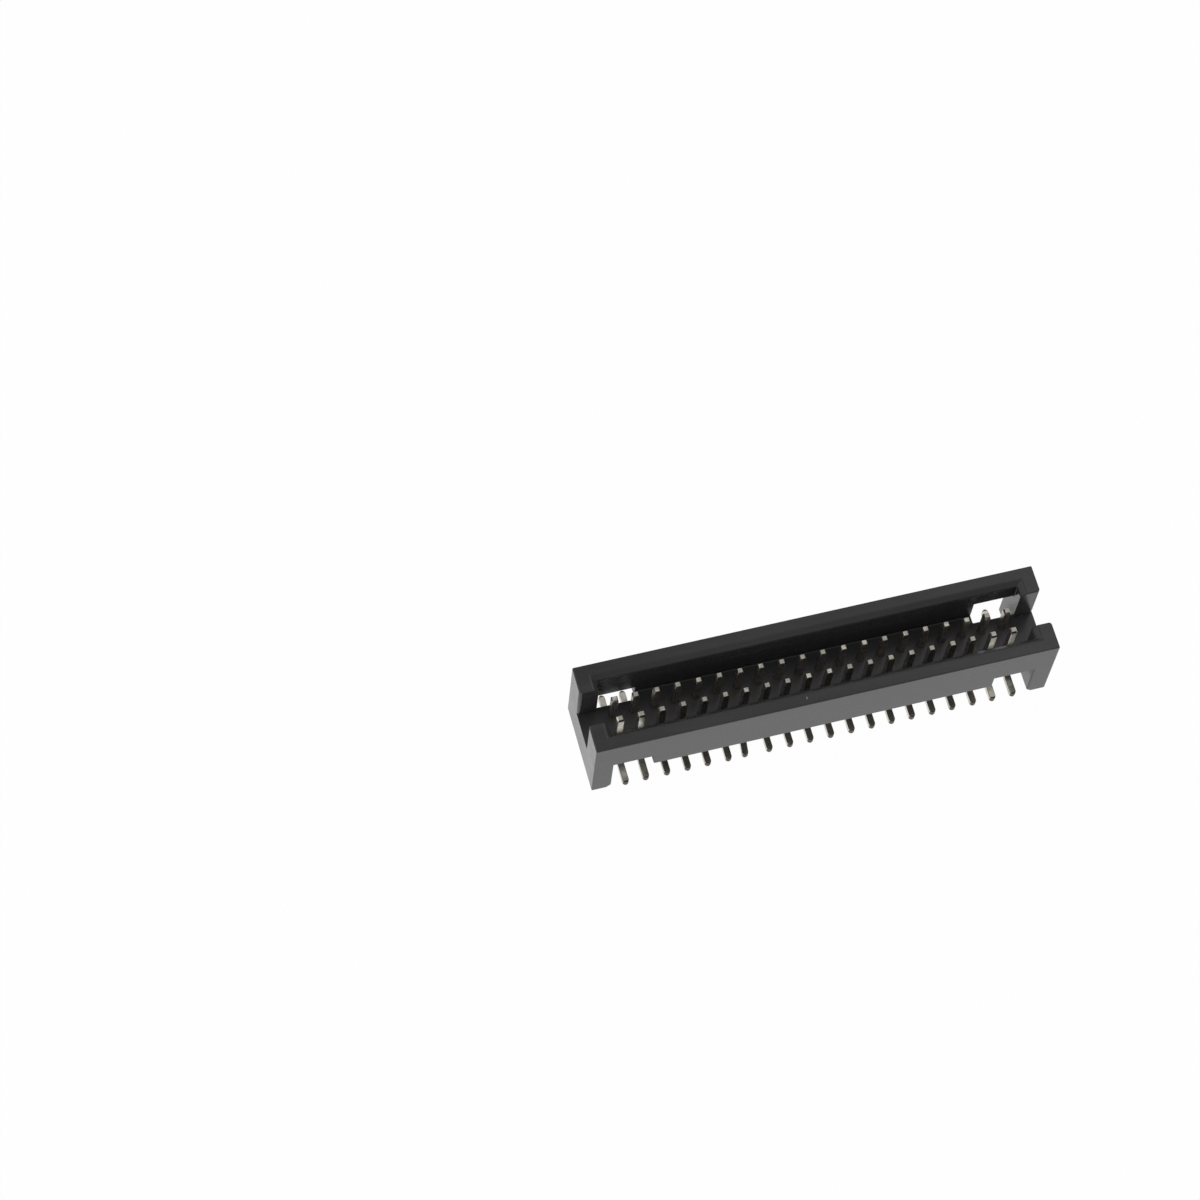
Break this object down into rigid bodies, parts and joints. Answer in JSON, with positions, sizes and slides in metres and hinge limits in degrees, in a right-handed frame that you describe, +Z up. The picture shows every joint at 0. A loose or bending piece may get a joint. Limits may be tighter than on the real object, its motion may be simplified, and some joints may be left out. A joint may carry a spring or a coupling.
{
  "type": "shrouded surface-mount pin header",
  "caption": "Black moulded box header with slotted end walls, side openings by its feet and two rows of square contacts bent out into flat solder tails.",
  "frame": {"origin": "on the board plane, midway between the two end feet and midway between the contact rows", "axes": "+X along the rows, towards the end with the taller side opening; +Y across the rows, towards the back wall that has it; +Z up from the board, out of the open cavity"},
  "size_m": [0.0282, 0.0058, 0.0057],
  "materials": {
    "housing_plastic": "black glass-filled moulding, satin",
    "contact_metal": "bright tin plate over copper alloy wire"
  },
  "bodies": {
    "root": {"housing": "housing_plastic", "contact_front_01": "contact_metal", "contact_front_02": "contact_metal", "contact_front_03": "contact_metal", "contact_front_04": "contact_metal", "contact_front_05": "contact_metal", "contact_front_06": "contact_metal", "contact_front_07": "contact_metal", "contact_front_08": "contact_metal", "contact_front_09": "contact_metal", "contact_front_10": "contact_metal", "contact_front_11": "contact_metal", "contact_front_12": "contact_metal", "contact_front_13": "contact_metal", "contact_front_14": "contact_metal", "contact_front_15": "contact_metal", "contact_front_16": "contact_metal", "contact_front_17": "contact_metal", "contact_front_18": "contact_metal", "contact_front_19": "contact_metal", "contact_front_20": "contact_metal", "contact_back_01": "contact_metal", "contact_back_02": "contact_metal", "contact_back_03": "contact_metal", "contact_back_04": "contact_metal", "contact_back_05": "contact_metal", "contact_back_06": "contact_metal", "contact_back_07": "contact_metal", "contact_back_08": "contact_metal", "contact_back_09": "contact_metal", "contact_back_10": "contact_metal", "contact_back_11": "contact_metal", "contact_back_12": "contact_metal", "contact_back_13": "contact_metal", "contact_back_14": "contact_metal", "contact_back_15": "contact_metal", "contact_back_16": "contact_metal", "contact_back_17": "contact_metal", "contact_back_18": "contact_metal", "contact_back_19": "contact_metal", "contact_back_20": "contact_metal"}
  },
  "joints": []
}
